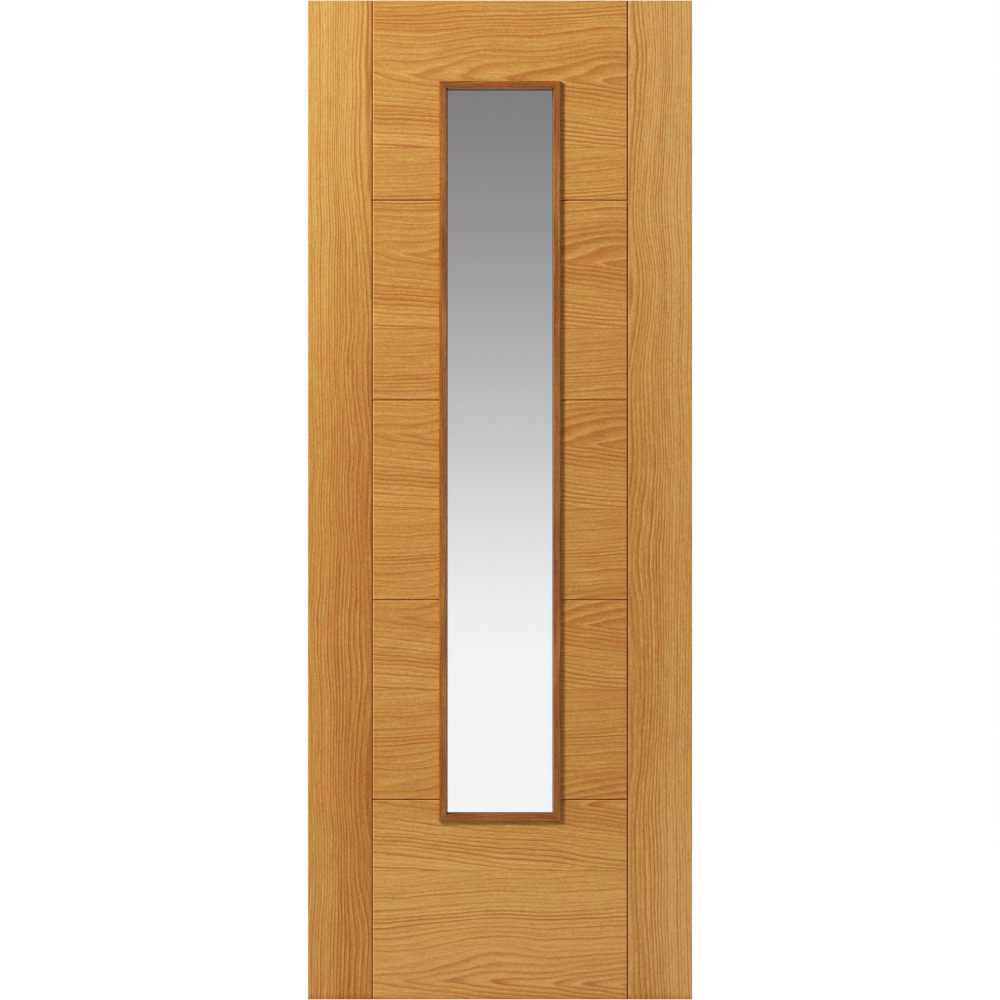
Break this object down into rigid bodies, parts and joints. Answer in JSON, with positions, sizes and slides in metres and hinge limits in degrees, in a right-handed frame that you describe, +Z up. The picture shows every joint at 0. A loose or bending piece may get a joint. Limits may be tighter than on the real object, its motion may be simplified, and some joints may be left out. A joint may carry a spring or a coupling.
{
  "type": "glazed fire door leaf",
  "caption": "Solid-core fire door leaf with oak-veneered stiles, V-grooved ladder panels and a tall narrow slot of fire glass between mitred hardwood beads.",
  "frame": {"origin": "at the foot of the hinge edge, in the middle of the leaf's thickness", "axes": "+X from the hinge edge across the leaf to the lock edge, +Z up, -Y out of the front face"},
  "size_m": [0.762, 0.058, 1.981],
  "materials": {
    "oak_veneer_upright": "satin lacquer",
    "oak_veneer_level": "satin lacquer",
    "oak_lipping": "satin lacquer",
    "bead_hardwood": "satin lacquer",
    "stile_core_timber": "sawn",
    "core_board": "sawn",
    "fire_glass": "clear polished",
    "glazing_tape": "matt ceramic fibre"
  },
  "bodies": {
    "root": {"hinge_edge_lipping": "oak_lipping", "hinge_stile_core": "stile_core_timber", "lock_edge_lipping": "oak_lipping", "lock_stile_core": "stile_core_timber", "bottom_rail_core": "core_board", "top_rail_core": "core_board", "hinge_side_infill_core": "core_board", "lock_side_infill_core": "core_board", "front_hinge_stile_facing": "oak_veneer_upright", "front_lock_stile_facing": "oak_veneer_upright", "front_panel_1": "oak_veneer_level", "front_panel_2_hinge_side": "oak_veneer_level", "front_panel_2_lock_side": "oak_veneer_level", "front_panel_3_hinge_side": "oak_veneer_level", "front_panel_3_lock_side": "oak_veneer_level", "front_panel_4_hinge_side": "oak_veneer_level", "front_panel_4_lock_side": "oak_veneer_level", "front_panel_5": "oak_veneer_level", "back_hinge_stile_facing": "oak_veneer_upright", "back_lock_stile_facing": "oak_veneer_upright", "back_panel_1": "oak_veneer_level", "back_panel_2_hinge_side": "oak_veneer_level", "back_panel_2_lock_side": "oak_veneer_level", "back_panel_3_hinge_side": "oak_veneer_level", "back_panel_3_lock_side": "oak_veneer_level", "back_panel_4_hinge_side": "oak_veneer_level", "back_panel_4_lock_side": "oak_veneer_level", "back_panel_5": "oak_veneer_level", "fire_glass_pane": "fire_glass", "glazing_setting_blocks": "bead_hardwood", "front_glazing_tape": "glazing_tape", "front_bead_top": "bead_hardwood", "front_bead_bottom": "bead_hardwood", "front_bead_hinge_side": "bead_hardwood", "front_bead_lock_side": "bead_hardwood", "back_glazing_tape": "glazing_tape", "back_bead_top": "bead_hardwood", "back_bead_bottom": "bead_hardwood", "back_bead_hinge_side": "bead_hardwood", "back_bead_lock_side": "bead_hardwood"}
  },
  "joints": []
}
